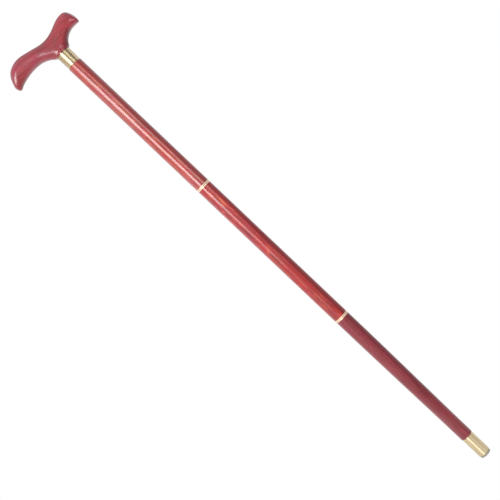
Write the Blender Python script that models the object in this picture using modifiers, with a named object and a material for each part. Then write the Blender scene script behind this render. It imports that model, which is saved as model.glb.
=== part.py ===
"""Take-apart wooden walking cane with a derby handle.

Three wooden sections screw together end to end. The handle is fixed on the
upper section through a brass collar, and the foot is a brass ferrule with a
rubber pad. Each screw joint is a brass socket in the section above, a brass
stud in the section below, and a rubber sealing ring round the stud's root.

Metres, +Z up along the cane. The origin is the centre of the foot's flat
underside. The long end of the grip points to -X and the nose to +X.
"""

import math

import bmesh
import bpy
from mathutils import Vector

MM = 0.001

# ---------------------------------------------------------------------------
# Driving dimensions, in millimetres
# ---------------------------------------------------------------------------
SHAFT_R = 11.85            # wooden sections, upper and middle
GAP = 0.1                  # clearance between glued or butted neighbours

# heights up the cane
PAD_TOP = 3.0
FERRULE_TOP = 40.4
LOWER_JOINT_Z = 301.9      # parting plane, middle section to lower section
UPPER_JOINT_Z = 586.0      # parting plane, upper section to middle section
COLLAR_BOTTOM = 847.6
COLLAR_TOP = 871.3

# foot
LOWER_TOP_R = 11.8         # wood just below the lower joint
LOWER_END_R = 10.3         # wood just above the ferrule
TAPER_TOP = 275.0          # height at which the lower section begins to taper
TAPER_EASE = 50.0          # length over which the taper sets in
FERRULE_TOP_R = 9.7
FERRULE_LOW_R = 9.7
FERRULE_WALL = 0.8
FERRULE_FLOOR = 1.4
PAD_R = 9.0
PAD_FOOT_R = 8.3
PLUG_R = 3.0
PLUG_TOP = 11.0

# collar and handle fixing
COLLAR_TOP_R = 11.6
COLLAR_LOW_R = 11.1
COLLAR_BORE_R = 9.4
TENON_R = 9.3
STUD_ROD_R = 4.0
STUD_ROD_BOTTOM = 838.5
STUD_ROD_TOP = 892.0
STUD_BORE_R = 4.3
HANDLE_BORE_TOP = 895.0
NECK_Z = 871.4
NECK_R = 13.2

# screw joints, heights measured from each joint's parting plane
FLANGE_R = 11.7
FLANGE_T = 2.0
FLANGE_GAP = 0.15          # each flange face to the parting plane
SOCKET_R = 7.2
SOCKET_LEN = 18.6
SOCKET_MOUTH_R = 6.5
SOCKET_MOUTH_TOP = 2.05
SOCKET_THREAD_TOP = 14.4
SOCKET_HOLE_TOP = 16.6
SHANK_R = 6.0
SHANK_LEN = 20.0
NECK_RELIEF_R = 3.85
THREAD_PITCH = 1.5
THREAD_CREST_R = 4.9
THREAD_ROOT_R = 4.08
THREAD_START = 2.6
THREAD_END = 13.4
THREAD_CLEARANCE = 0.2     # radial, socket thread over stud thread
THREAD_TURNS = 12          # length of the uncut threaded bar, in turns
THREAD_STEPS = 16

SEAL_R = 5.15              # centre circle of the sealing ring
SEAL_WIRE_R = 0.85

ROUND_STEPS = 40
SMALL_STEPS = 24
SEAL_STEPS = 24
SHARP = math.radians(32)


# ---------------------------------------------------------------------------
# Scene, collections and materials
# ---------------------------------------------------------------------------
for old in list(bpy.data.objects):
    bpy.data.objects.remove(old, do_unlink=True)

cane = bpy.data.collections.new("walking_cane")
cutters = bpy.data.collections.new("cutters")
bpy.context.scene.collection.children.link(cane)
bpy.context.scene.collection.children.link(cutters)


def material(name, colour, roughness, metallic=0.0, coat=0.0):
    mat = bpy.data.materials.new(name)
    mat.use_nodes = True
    shader = mat.node_tree.nodes["Principled BSDF"]
    shader.inputs["Base Color"].default_value = (*colour, 1.0)
    shader.inputs["Roughness"].default_value = roughness
    shader.inputs["Metallic"].default_value = metallic
    shader.inputs["Coat Weight"].default_value = coat
    mat.diffuse_color = (*colour, 1.0)
    return mat


HANDLE_WOOD = material("handle_wood", (0.42, 0.075, 0.085), 0.35, coat=0.6)
UPPER_WOOD = material("upper_wood", (0.45, 0.085, 0.07), 0.35, coat=0.6)
MIDDLE_WOOD = material("middle_wood", (0.43, 0.07, 0.05), 0.35, coat=0.6)
LOWER_WOOD = material("lower_wood", (0.33, 0.065, 0.07), 0.4, coat=0.5)
BRASS = material("polished_brass", (0.80, 0.66, 0.38), 0.18, metallic=1.0)
STEEL = material("plated_steel", (0.56, 0.56, 0.57), 0.3, metallic=1.0)
SEAL_RUBBER = material("seal_rubber", (0.02, 0.02, 0.02), 0.6)
PAD_RUBBER = material("pad_rubber", (0.30, 0.30, 0.24), 0.7)


# ---------------------------------------------------------------------------
# Helpers
# ---------------------------------------------------------------------------
def axis_empty(name, height, parent=None, parent_height=0.0):
    """An empty on the cane's axis, which carries everything below its joint."""
    empty = bpy.data.objects.new(name, None)
    empty.empty_display_type = "SINGLE_ARROW"
    empty.empty_display_size = 0.03
    cane.objects.link(empty)
    empty.parent = parent
    empty.location = (0, 0, (height - parent_height) * MM)
    return empty


def put(obj, mat, carrier, collection=None):
    """Links an object, gives it its material and hangs it on its carrier.

    A carrier is an empty and its height on the axis.
    """
    (collection or cane).objects.link(obj)
    if mat:
        obj.data.materials.append(mat)
    empty, height = carrier
    obj.parent = empty
    obj.location = (0, 0, obj["base_height"] * MM - height * MM)
    return obj


def as_helper(obj):
    obj.hide_render = True
    obj.display_type = "WIRE"


def turned(name, profile, steps, base):
    """A lathe-turned solid.

    The profile is (radius, height) pairs from the axis at the top, down the
    outside, and back to the axis at the bottom. base is the object's origin.
    """
    mesh = bpy.data.meshes.new(name)
    points = [(r * MM, 0.0, (z - base) * MM) for r, z in profile]
    mesh.from_pydata(points, [(i, i + 1) for i in range(len(points) - 1)], [])
    obj = bpy.data.objects.new(name, mesh)
    obj["base_height"] = float(base)
    lathe = obj.modifiers.new("Lathe", "SCREW")
    lathe.axis = "Z"
    lathe.angle = 2 * math.pi
    lathe.steps = steps
    lathe.render_steps = steps
    lathe.use_merge_vertices = True
    lathe.merge_threshold = 0.00001
    lathe.use_smooth_shade = True
    return obj


def freeze(obj):
    """Turns the lathe work into a plain mesh, so that its corners can be marked sharp."""
    graph = bpy.context.evaluated_depsgraph_get()
    mesh = bpy.data.meshes.new_from_object(obj.evaluated_get(graph))
    mesh.name = obj.name
    obj.modifiers.clear()
    obj.data = mesh
    mesh.shade_smooth()
    mesh.set_sharp_from_angle(angle=SHARP)
    return obj


def boolean(obj, other, operation):
    cut = obj.modifiers.new(f"{operation.title()} {other.name}", "BOOLEAN")
    cut.object = other
    cut.operation = operation
    cut.solver = "EXACT"
    return cut


def fillet(corner, radius, start_angle, steps=3):
    """Points round a quarter circle whose square corner is at (radius, height)."""
    r, z = corner
    centre = (r - radius, z - radius if start_angle == 90 else z + radius)
    for i in range(steps + 1):
        a = math.radians(start_angle - 90 * i / steps)
        yield centre[0] + radius * math.cos(a), centre[1] + radius * math.sin(a)


def grooves(radius, depth, top, pitch, count, width=0.9):
    """Glue grooves down a plain cylinder, as profile points from the top."""
    for i in range(count):
        z = top - i * pitch
        yield radius, z
        yield radius - depth, z - width * 0.35
        yield radius - depth, z - width * 0.65
        yield radius, z - width


def threaded_bar(name, root_r, crest_r, bottom, base):
    """A long bar with a right-hand thread, its two ends left for trimming.

    One tooth's outline is spun round the axis and climbs one pitch a turn,
    and each end is closed with a fan to the axis.
    """
    p = THREAD_PITCH
    tooth = [(root_r, 0.0), (root_r, 0.25 * p), (crest_r, 0.5625 * p),
             (crest_r, 0.6875 * p), (root_r, p)]
    bm = bmesh.new()
    chain = [bm.verts.new((r * MM, 0, (bottom - base + z) * MM)) for r, z in tooth]
    edges = [bm.edges.new(pair) for pair in zip(chain, chain[1:])]
    bmesh.ops.spin(
        bm, geom=chain + edges, cent=(0, 0, 0), axis=(0, 0, 1),
        dvec=(0, 0, p * MM / THREAD_STEPS), angle=2 * math.pi * THREAD_TURNS,
        steps=THREAD_STEPS * THREAD_TURNS, use_duplicate=False,
    )
    bmesh.ops.remove_doubles(bm, verts=bm.verts, dist=0.000004)
    rim = {e for e in bm.edges if e.is_boundary}
    while rim:
        loop, reach = set(), [rim.pop()]
        while reach:
            edge = reach.pop()
            loop.add(edge)
            for vert in edge.verts:
                for other in vert.link_edges:
                    if other in rim:
                        rim.discard(other)
                        reach.append(other)
        heights = [v.co.z for e in loop for v in e.verts]
        hub = bm.verts.new((0, 0, sum(heights) / len(heights)))
        for edge in loop:
            bm.faces.new((*edge.verts, hub))
    bmesh.ops.recalc_face_normals(bm, faces=bm.faces)
    mesh = bpy.data.meshes.new(name)
    bm.to_mesh(mesh)
    bm.free()
    obj = bpy.data.objects.new(name, mesh)
    obj["base_height"] = float(base)
    return obj


# ---------------------------------------------------------------------------
# Carriers: the upper section is fixed, each joint carries all that is below
# ---------------------------------------------------------------------------
upper_origin = axis_empty("cane_origin", 0.0)
upper_joint_axis = axis_empty("upper_joint_axis", UPPER_JOINT_Z, upper_origin)
lower_joint_axis = axis_empty("lower_joint_axis", LOWER_JOINT_Z, upper_joint_axis, UPPER_JOINT_Z)
UPPER = (upper_origin, 0.0)
MIDDLE = (upper_joint_axis, UPPER_JOINT_Z)
LOWER = (lower_joint_axis, LOWER_JOINT_Z)


# ---------------------------------------------------------------------------
# Handle: a coarse cage that a subdivision surface rounds off
# ---------------------------------------------------------------------------
# Each station of the grip is the highest and lowest point of one slice
# through it, (x, z) each, half the slice's thickness, how far up the slice it
# is widest, as a share of its height, and how square it is, where 2 is an
# ellipse. Slices lean with the grip, from the long end to the nose.
GRIP = [
    ((-85.3, 890.2), (-82.9, 878.4), 7.9, 0.53, 2.02),
    ((-80.4, 901.2), (-76.2, 880.3), 11.8, 0.58, 2.07),
    ((-70.0, 910.4), (-66.5, 883.1), 13.6, 0.62, 2.14),
    ((-54.0, 913.6), (-53.0, 885.0), 14.2, 0.64, 2.23),
    ((-38.5, 910.6), (-39.5, 884.7), 14.2, 0.62, 2.34),
    ((-25.5, 906.9), (-28.5, 882.1), 14.0, 0.60, 2.40),
    ((-13.5, 903.8), (-19.6, 877.1), 14.0, 0.57, 2.45),
    ((0.0, 903.5), (0.0, 876.0), 13.8, 0.52, 2.49),
    ((13.5, 906.9), (18.6, 878.4), 13.1, 0.47, 2.52),
    ((25.0, 911.0), (28.0, 884.8), 12.2, 0.42, 2.58),
    ((36.5, 912.9), (38.5, 886.9), 11.1, 0.39, 2.64),
    ((45.6, 910.0), (47.2, 886.5), 9.3, 0.37, 2.67),
    ((50.2, 900.9), (50.5, 887.0), 6.3, 0.36, 2.69),
]
LONG_END = (-86.4, 884.3)
NOSE_END = (51.4, 893.0)
NECK_STATION = 7           # the slice over the cane's axis


def slice_points(top, bottom, half_thickness, widest, squareness):
    """Eight points round one slice: bottom, then up the +Y side, top, and down."""
    top, bottom = Vector((top[0], 0, top[1])), Vector((bottom[0], 0, bottom[1]))
    middle = bottom.lerp(top, widest)
    for k in range(8):
        a = math.radians(45 * k - 90)
        across = math.copysign(abs(math.cos(a)) ** (2 / squareness), math.cos(a))
        up = abs(math.sin(a)) ** (2 / squareness)
        if abs(math.cos(a)) < 1e-9:
            across = 0.0
        towards = (top - middle) if math.sin(a) > 0 else (bottom - middle)
        point = middle + towards * (up if abs(math.sin(a)) > 1e-9 else 0.0)
        yield Vector((point.x, half_thickness * across, point.z))


def handle_cage():
    """The cage's faces, and the point of the real surface under each corner."""
    bm = bmesh.new()

    def corner(point):
        return bm.verts.new(Vector(point) * MM)

    rings = [[corner(p) for p in slice_points(*station)] for station in GRIP]
    left, mid, right = (rings[NECK_STATION + i] for i in (-1, 0, 1))

    # The neck grows out of the four faces under the middle slice, so their
    # outline is drawn round it first: eight corners from -X round by +Y.
    for ring, x, y, z in ((left, -12.5, 10.45, 877.6), (right, 11.4, 9.4, 878.0)):
        ring[1].co = Vector((x, y, z)) * MM
        ring[7].co = Vector((x, -y, z)) * MM
    mid[1].co = Vector((0, 12.7, 878.2)) * MM
    mid[7].co = Vector((0, -12.7, 878.2)) * MM
    outline = [left[0], left[1], mid[1], right[1], right[0], right[7], mid[7], left[7]]

    for a, ring in enumerate(rings[:-1]):
        for k in range(8):
            under_neck = a in (NECK_STATION - 1, NECK_STATION) and k in (0, 7)
            if not under_neck:
                bm.faces.new((ring[k], ring[(k + 1) % 8],
                              rings[a + 1][(k + 1) % 8], rings[a + 1][k]))
    bm.verts.remove(mid[0])

    for ring, end in ((rings[0], LONG_END), (rings[-1], NOSE_END)):
        tip = corner((end[0], 0, end[1]))
        for k in (0, 2, 4, 6):
            bm.faces.new((tip, ring[k], ring[k + 1], ring[(k + 2) % 8]))

    # radius towards -X, across, towards +X, and height of each ring of the neck
    for back, side, front, z in ((15.6, 13.2, 15.2, 873.5), (NECK_R + 0.2, NECK_R, NECK_R + 0.2, 871.9),
                                 (NECK_R - 0.7, NECK_R - 0.7, NECK_R - 0.7, NECK_Z), (8.0, 8.0, 8.0, NECK_Z)):
        ring = []
        for k in range(8):
            a = math.radians(180 - 45 * k)
            reach = front if math.cos(a) > 0 else back
            ring.append(corner((reach * math.cos(a), side * math.sin(a), z)))
        for k in range(8):
            bm.faces.new((outline[k], outline[(k + 1) % 8], ring[(k + 1) % 8], ring[k]))
        outline = ring
    hub = corner((0, 0, NECK_Z))
    for k in (0, 2, 4, 6):
        bm.faces.new((hub, outline[k], outline[k + 1], outline[(k + 2) % 8]))

    bmesh.ops.recalc_face_normals(bm, faces=bm.faces)
    bm.verts.index_update()
    return bm


def smooth_position(vert):
    """Where the subdivision surface passes under a corner of an all-quad cage."""
    n = len(vert.link_edges)
    total = vert.co * n * n
    for edge in vert.link_edges:
        total += edge.other_vert(vert).co * 4
    for loop in vert.link_loops:
        total += loop.link_loop_next.link_loop_next.vert.co
    return total / (n * (n + 5))


def fit_cage(bm, rounds=60):
    """Moves the corners outwards until the smooth surface runs through their first places."""
    wanted = {v: v.co.copy() for v in bm.verts}
    for _ in range(rounds):
        shift = {v: wanted[v] - smooth_position(v) for v in bm.verts}
        for v, move in shift.items():
            v.co += move * 0.9


cage = handle_cage()
fit_cage(cage)
handle_mesh = bpy.data.meshes.new("handle")
cage.to_mesh(handle_mesh)
cage.free()
handle_mesh.shade_smooth()
handle = bpy.data.objects.new("handle", handle_mesh)
handle["base_height"] = 0.0
soften = handle.modifiers.new("Round", "SUBSURF")
soften.levels = 2
soften.render_levels = 2
put(handle, HANDLE_WOOD, UPPER)

handle_bore = turned("handle_bore", [
    (0, HANDLE_BORE_TOP), (STUD_BORE_R, HANDLE_BORE_TOP - 2.0),
    (STUD_BORE_R, NECK_Z - 3.0), (0, NECK_Z - 3.0),
], SMALL_STEPS, NECK_Z)
freeze(put(handle_bore, None, UPPER, cutters))
as_helper(handle_bore)
boolean(handle, handle_bore, "DIFFERENCE")


# ---------------------------------------------------------------------------
# Handle fixing: a steel rod glued into both bores, and the brass collar
# ---------------------------------------------------------------------------
rod_middle = (STUD_ROD_TOP + STUD_ROD_BOTTOM) / 2
handle_stud = turned("handle_stud", [
    (0, STUD_ROD_TOP), (STUD_ROD_R - 0.8, STUD_ROD_TOP),
    (STUD_ROD_R, STUD_ROD_TOP - 1.2),
    *grooves(STUD_ROD_R, 0.45, STUD_ROD_TOP - 4.0, 6.0, 3, 1.4),
    *grooves(STUD_ROD_R, 0.45, STUD_ROD_BOTTOM + 17.0, 6.0, 3, 1.4),
    (STUD_ROD_R, STUD_ROD_BOTTOM + 1.2),
    (STUD_ROD_R - 0.8, STUD_ROD_BOTTOM), (0, STUD_ROD_BOTTOM),
], 20, rod_middle)
freeze(put(handle_stud, STEEL, UPPER))

collar_profile = [
    (COLLAR_BORE_R, COLLAR_TOP), (COLLAR_TOP_R - 0.25, COLLAR_TOP),
    (COLLAR_TOP_R, COLLAR_TOP - 0.3),
    (COLLAR_LOW_R, COLLAR_BOTTOM + 0.3), (COLLAR_LOW_R - 0.25, COLLAR_BOTTOM),
    (COLLAR_BORE_R, COLLAR_BOTTOM), (COLLAR_BORE_R, COLLAR_TOP),
]
handle_collar = turned("handle_collar", collar_profile, ROUND_STEPS, COLLAR_BOTTOM)
freeze(put(handle_collar, BRASS, UPPER))


# ---------------------------------------------------------------------------
# Wooden sections
# ---------------------------------------------------------------------------
def socket_bore(joint_z):
    """The bore in a section's lower end, from its mouth to its blind end."""
    bottom = joint_z + FLANGE_GAP + FLANGE_T + GAP
    return [(SOCKET_R + 0.15, bottom), (SOCKET_R + 0.15, bottom + SOCKET_LEN + 0.4),
            (0, bottom + SOCKET_LEN + 3.0)]


def shank_bore(joint_z):
    """The bore in a section's upper end, from its blind end to its mouth."""
    top = joint_z - FLANGE_GAP - FLANGE_T - GAP
    return [(0, top - SHANK_LEN - 3.0), (SHANK_R + 0.15, top - SHANK_LEN - 0.4),
            (SHANK_R + 0.15, top)]


shoulder = COLLAR_BOTTOM - GAP
upper_shaft = turned("upper_shaft", [
    (0, STUD_ROD_BOTTOM - 3.0), (STUD_BORE_R, STUD_ROD_BOTTOM - 0.8),
    (STUD_BORE_R, COLLAR_TOP - 0.2), (TENON_R - 0.4, COLLAR_TOP - 0.2),
    (TENON_R, COLLAR_TOP - 0.7), (TENON_R, shoulder),
    *fillet((SHAFT_R, shoulder), 0.7, 90),
    (SHAFT_R, UPPER_JOINT_Z + FLANGE_GAP + FLANGE_T + GAP),
    *socket_bore(UPPER_JOINT_Z),
], ROUND_STEPS, UPPER_JOINT_Z)
freeze(put(upper_shaft, UPPER_WOOD, UPPER))

middle_shaft = turned("middle_shaft", [
    *shank_bore(UPPER_JOINT_Z),
    (SHAFT_R, UPPER_JOINT_Z - FLANGE_GAP - FLANGE_T - GAP),
    (SHAFT_R, LOWER_JOINT_Z + FLANGE_GAP + FLANGE_T + GAP),
    *socket_bore(LOWER_JOINT_Z),
], ROUND_STEPS, UPPER_JOINT_Z)
freeze(put(middle_shaft, MIDDLE_WOOD, MIDDLE))

foot_shoulder = FERRULE_TOP + GAP
lower_top = LOWER_JOINT_Z - FLANGE_GAP - FLANGE_T - GAP
ferrule_inner_low = FERRULE_LOW_R - FERRULE_WALL - GAP
ferrule_inner_top = FERRULE_TOP_R - FERRULE_WALL - GAP
tenon_end = PAD_TOP + GAP + FERRULE_FLOOR + 0.2


def taper(z):
    """Radius of the lower section: a plain cylinder at the top, then an even taper that sets in gently."""
    def drop(height):
        below = max(0.0, TAPER_TOP - height)
        return below * below / (2 * TAPER_EASE) if below < TAPER_EASE else below - TAPER_EASE / 2
    return LOWER_TOP_R - (LOWER_TOP_R - LOWER_END_R) * drop(z) / drop(foot_shoulder)


lower_shaft = turned("lower_shaft", [
    *shank_bore(LOWER_JOINT_Z),
    (LOWER_TOP_R, lower_top),
    *((taper(TAPER_TOP - TAPER_EASE * i / 4), TAPER_TOP - TAPER_EASE * i / 4) for i in range(5)),
    (taper(foot_shoulder + 1.3), foot_shoulder + 1.3),
    (LOWER_END_R - 0.12, foot_shoulder + 0.75),
    (LOWER_END_R - 0.45, foot_shoulder + 0.25),
    (LOWER_END_R - 1.0, foot_shoulder),
    (ferrule_inner_top, foot_shoulder), (ferrule_inner_low, tenon_end),
    (PLUG_R + 0.2, tenon_end), (PLUG_R + 0.2, PLUG_TOP + 0.6), (0, PLUG_TOP + 2.2),
], ROUND_STEPS, LOWER_JOINT_Z)
freeze(put(lower_shaft, LOWER_WOOD, LOWER))


# ---------------------------------------------------------------------------
# Foot: brass ferrule and rubber pad
# ---------------------------------------------------------------------------
ferrule_bottom = PAD_TOP + GAP
ferrule = turned("ferrule", [
    (FERRULE_TOP_R - FERRULE_WALL, FERRULE_TOP), (FERRULE_TOP_R - 0.2, FERRULE_TOP),
    (FERRULE_TOP_R, FERRULE_TOP - 0.25),
    (FERRULE_LOW_R, ferrule_bottom + 0.35), (FERRULE_LOW_R - 0.35, ferrule_bottom),
    (PLUG_R + 0.2, ferrule_bottom), (PLUG_R + 0.2, ferrule_bottom + FERRULE_FLOOR),
    (FERRULE_LOW_R - FERRULE_WALL, ferrule_bottom + FERRULE_FLOOR),
    (FERRULE_TOP_R - FERRULE_WALL, FERRULE_TOP),
], ROUND_STEPS, ferrule_bottom)
freeze(put(ferrule, BRASS, LOWER))

tip_pad = turned("tip_pad", [
    (0, PLUG_TOP), (PLUG_R - 0.6, PLUG_TOP), (PLUG_R, PLUG_TOP - 0.9),
    (PLUG_R, PAD_TOP), (PAD_R - 0.3, PAD_TOP), (PAD_R, PAD_TOP - 0.4),
    (PAD_R, 1.0), (PAD_R - 0.2, 0.4), (PAD_FOOT_R, 0.0), (0, 0.0),
], ROUND_STEPS, 0.0)
freeze(put(tip_pad, PAD_RUBBER, LOWER))


# ---------------------------------------------------------------------------
# Screw joints
# ---------------------------------------------------------------------------
def screw_joint(which, joint_z, above, below):
    """Socket in the section above, stud and sealing ring on the section below."""
    tag = f"{which}_joint"
    face = joint_z + FLANGE_GAP

    # Socket: flange and grooved body with a blind hole, then its thread is cut.
    tap_r = THREAD_ROOT_R + THREAD_CLEARANCE
    flange_top = face + FLANGE_T
    socket = turned(f"{tag}_socket", [
        (0, flange_top + SOCKET_LEN), (SOCKET_R - 0.8, flange_top + SOCKET_LEN),
        (SOCKET_R, flange_top + SOCKET_LEN - 0.8),
        *grooves(SOCKET_R, 0.5, flange_top + 13.5, 6.5, 2, 1.8),
        (SOCKET_R, flange_top), (FLANGE_R - 0.15, flange_top),
        (FLANGE_R, flange_top - 0.15), (FLANGE_R, face + 0.3), (FLANGE_R - 0.3, face),
        (SOCKET_MOUTH_R, face), (SOCKET_MOUTH_R, joint_z + SOCKET_MOUTH_TOP),
        (tap_r - 0.1, joint_z + SOCKET_MOUTH_TOP), (tap_r - 0.1, joint_z + SOCKET_HOLE_TOP),
        (0, joint_z + SOCKET_HOLE_TOP + 1.6),
    ], SMALL_STEPS, joint_z)
    freeze(put(socket, BRASS, above))

    tap = threaded_bar(f"{tag}_tap", tap_r, THREAD_CREST_R + THREAD_CLEARANCE,
                       joint_z + THREAD_START - 2 * THREAD_PITCH, joint_z)
    put(tap, None, above, cutters)
    as_helper(tap)
    tap_length = turned(f"{tag}_tap_length", [
        (0, joint_z + SOCKET_THREAD_TOP), (tap_r - 0.5, joint_z + SOCKET_THREAD_TOP),
        (THREAD_CREST_R + 0.6, joint_z + SOCKET_THREAD_TOP - 1.2),
        (THREAD_CREST_R + 0.6, joint_z + SOCKET_MOUTH_TOP - 0.5),
        (0, joint_z + SOCKET_MOUTH_TOP - 0.5),
    ], SMALL_STEPS, joint_z)
    freeze(put(tap_length, None, above, cutters))
    as_helper(tap_length)
    boolean(tap, tap_length, "INTERSECT")
    boolean(socket, tap, "DIFFERENCE")

    # Stud: grooved shank, flange and relieved neck, joined to a threaded end.
    seat = joint_z - FLANGE_GAP
    under = seat - FLANGE_T
    stud = turned(f"{tag}_stud", [
        (0, joint_z + THREAD_END - 1.5), (THREAD_ROOT_R - 0.6, joint_z + THREAD_END - 1.5),
        (THREAD_ROOT_R - 0.6, joint_z + THREAD_START + 1.0),
        (NECK_RELIEF_R, joint_z + THREAD_START + 0.4),
        (NECK_RELIEF_R, seat + 0.3), (NECK_RELIEF_R + 0.3, seat),
        (FLANGE_R - 0.3, seat), (FLANGE_R, seat - 0.3), (FLANGE_R, under + 0.15),
        (FLANGE_R - 0.15, under), (SHANK_R, under),
        *grooves(SHANK_R, 0.5, under - 5.5, 7.0, 2, 1.8),
        (SHANK_R, under - SHANK_LEN + 0.8), (SHANK_R - 0.8, under - SHANK_LEN),
        (0, under - SHANK_LEN),
    ], SMALL_STEPS, joint_z)
    freeze(put(stud, BRASS, below))

    thread = threaded_bar(f"{tag}_thread", THREAD_ROOT_R, THREAD_CREST_R,
                          joint_z + THREAD_START - 2 * THREAD_PITCH, joint_z)
    put(thread, None, below, cutters)
    as_helper(thread)
    blank = turned(f"{tag}_thread_blank", [
        (0, joint_z + THREAD_END), (THREAD_ROOT_R - 0.15, joint_z + THREAD_END),
        (THREAD_CREST_R + 0.3, joint_z + THREAD_END - 1.2),
        (THREAD_CREST_R + 0.3, joint_z + THREAD_START + 0.6),
        (THREAD_ROOT_R - 0.2, joint_z + THREAD_START), (0, joint_z + THREAD_START),
    ], SMALL_STEPS, joint_z)
    freeze(put(blank, None, below, cutters))
    as_helper(blank)
    boolean(thread, blank, "INTERSECT")
    boolean(stud, thread, "UNION")

    # Sealing ring round the stud's neck, inside the socket's mouth.
    mesh = bpy.data.meshes.new(f"{tag}_seal")
    bm = bmesh.new()
    ring = bmesh.ops.create_circle(bm, segments=8, radius=SEAL_WIRE_R * MM)
    for vert in ring["verts"]:
        vert.co = Vector((SEAL_R * MM + vert.co.x, 0, vert.co.y))
    bmesh.ops.spin(bm, geom=bm.verts[:] + bm.edges[:], cent=(0, 0, 0), axis=(0, 0, 1),
                   angle=2 * math.pi, steps=SEAL_STEPS, use_duplicate=False)
    bmesh.ops.remove_doubles(bm, verts=bm.verts, dist=0.00001)
    bmesh.ops.recalc_face_normals(bm, faces=bm.faces)
    bm.to_mesh(mesh)
    bm.free()
    mesh.shade_smooth()
    seal = bpy.data.objects.new(f"{tag}_seal", mesh)
    seal["base_height"] = seat + 0.12 + SEAL_WIRE_R
    put(seal, SEAL_RUBBER, below)


screw_joint("upper", UPPER_JOINT_Z, UPPER, MIDDLE)
screw_joint("lower", LOWER_JOINT_Z, MIDDLE, LOWER)
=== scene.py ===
"""Looks of the take-apart walking cane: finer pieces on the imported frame, finishes, light and camera.

Metres, +Z up along the cane, origin under the foot, long end of the grip to -X.
Radii and heights in this file are in millimetres until they reach a mesh.
"""

import math

import bmesh
import bpy
from mathutils import Matrix, Vector


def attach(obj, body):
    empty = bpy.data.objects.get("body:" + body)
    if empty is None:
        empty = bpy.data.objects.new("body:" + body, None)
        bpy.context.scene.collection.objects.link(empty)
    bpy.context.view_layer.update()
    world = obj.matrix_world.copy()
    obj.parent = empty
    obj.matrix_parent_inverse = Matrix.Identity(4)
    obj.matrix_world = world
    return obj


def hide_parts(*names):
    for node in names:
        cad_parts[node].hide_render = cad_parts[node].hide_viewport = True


MM = 0.001

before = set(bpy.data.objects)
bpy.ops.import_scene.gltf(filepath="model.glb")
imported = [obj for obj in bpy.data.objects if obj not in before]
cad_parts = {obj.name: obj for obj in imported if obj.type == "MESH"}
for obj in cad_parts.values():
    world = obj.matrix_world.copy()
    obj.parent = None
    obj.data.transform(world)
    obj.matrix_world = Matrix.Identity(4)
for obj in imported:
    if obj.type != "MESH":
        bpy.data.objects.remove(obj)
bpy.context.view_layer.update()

# ---------------------------------------------------------------------------
# Dimensions that the looks share with the frame
# ---------------------------------------------------------------------------
SHAFT_R = 11.85
LOWER_TOP_R = 11.8
LOWER_END_R = 10.3
TAPER_TOP = 275.0
TAPER_EASE = 50.0
GAP = 0.1

PAD_TOP = 3.0
FERRULE_TOP = 40.4
LOWER_JOINT_Z = 301.9
UPPER_JOINT_Z = 586.0
COLLAR_BOTTOM = 847.6
COLLAR_TOP = 871.3

FERRULE_TOP_R = 9.7
FERRULE_LOW_R = 9.7
FERRULE_WALL = 0.8
FERRULE_FLOOR = 1.4
PAD_R = 9.0
PLUG_R = 3.0
PLUG_TOP = 11.0

COLLAR_TOP_R = 11.6
COLLAR_LOW_R = 11.1
COLLAR_BORE_R = 9.4
TENON_R = 9.3
STUD_BORE_R = 4.3
STUD_ROD_BOTTOM = 838.5
HANDLE_BORE_TOP = 895.0
NECK_Z = 871.4
NECK_R = 13.2

FLANGE_R = 11.7
FLANGE_T = 2.0
FLANGE_GAP = 0.15
SOCKET_R = 7.2
SOCKET_LEN = 18.6
SOCKET_MOUTH_R = 6.5
SOCKET_MOUTH_TOP = 2.05
SOCKET_THREAD_TOP = 14.4
SOCKET_HOLE_TOP = 16.6
SHANK_R = 6.0
SHANK_LEN = 20.0
NECK_RELIEF_R = 3.85
THREAD_PITCH = 1.5
THREAD_CREST_R = 4.9
THREAD_ROOT_R = 4.08
THREAD_START = 2.6
THREAD_END = 13.4
THREAD_CLEARANCE = 0.2
SEAL_R = 5.15
SEAL_WIRE_R = 0.85

STEPS = 128                # round the wood, the collar, the rings and the foot
THREAD_STEPS = 72
SHARP = math.radians(38)


# ---------------------------------------------------------------------------
# Mesh helpers
# ---------------------------------------------------------------------------
def finished(name, bm, material, body, replaced, smooth_angle=SHARP):
    """Turns a bmesh into a piece of the cane that stands for its CAD node."""
    bmesh.ops.recalc_face_normals(bm, faces=bm.faces)
    mesh = bpy.data.meshes.new(name)
    bm.to_mesh(mesh)
    bm.free()
    mesh.shade_smooth()
    mesh.set_sharp_from_angle(angle=smooth_angle)
    mesh.materials.append(material)
    obj = bpy.data.objects.new(name, mesh)
    bpy.context.scene.collection.objects.link(obj)
    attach(obj, body)
    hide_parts(replaced)
    return obj


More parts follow.
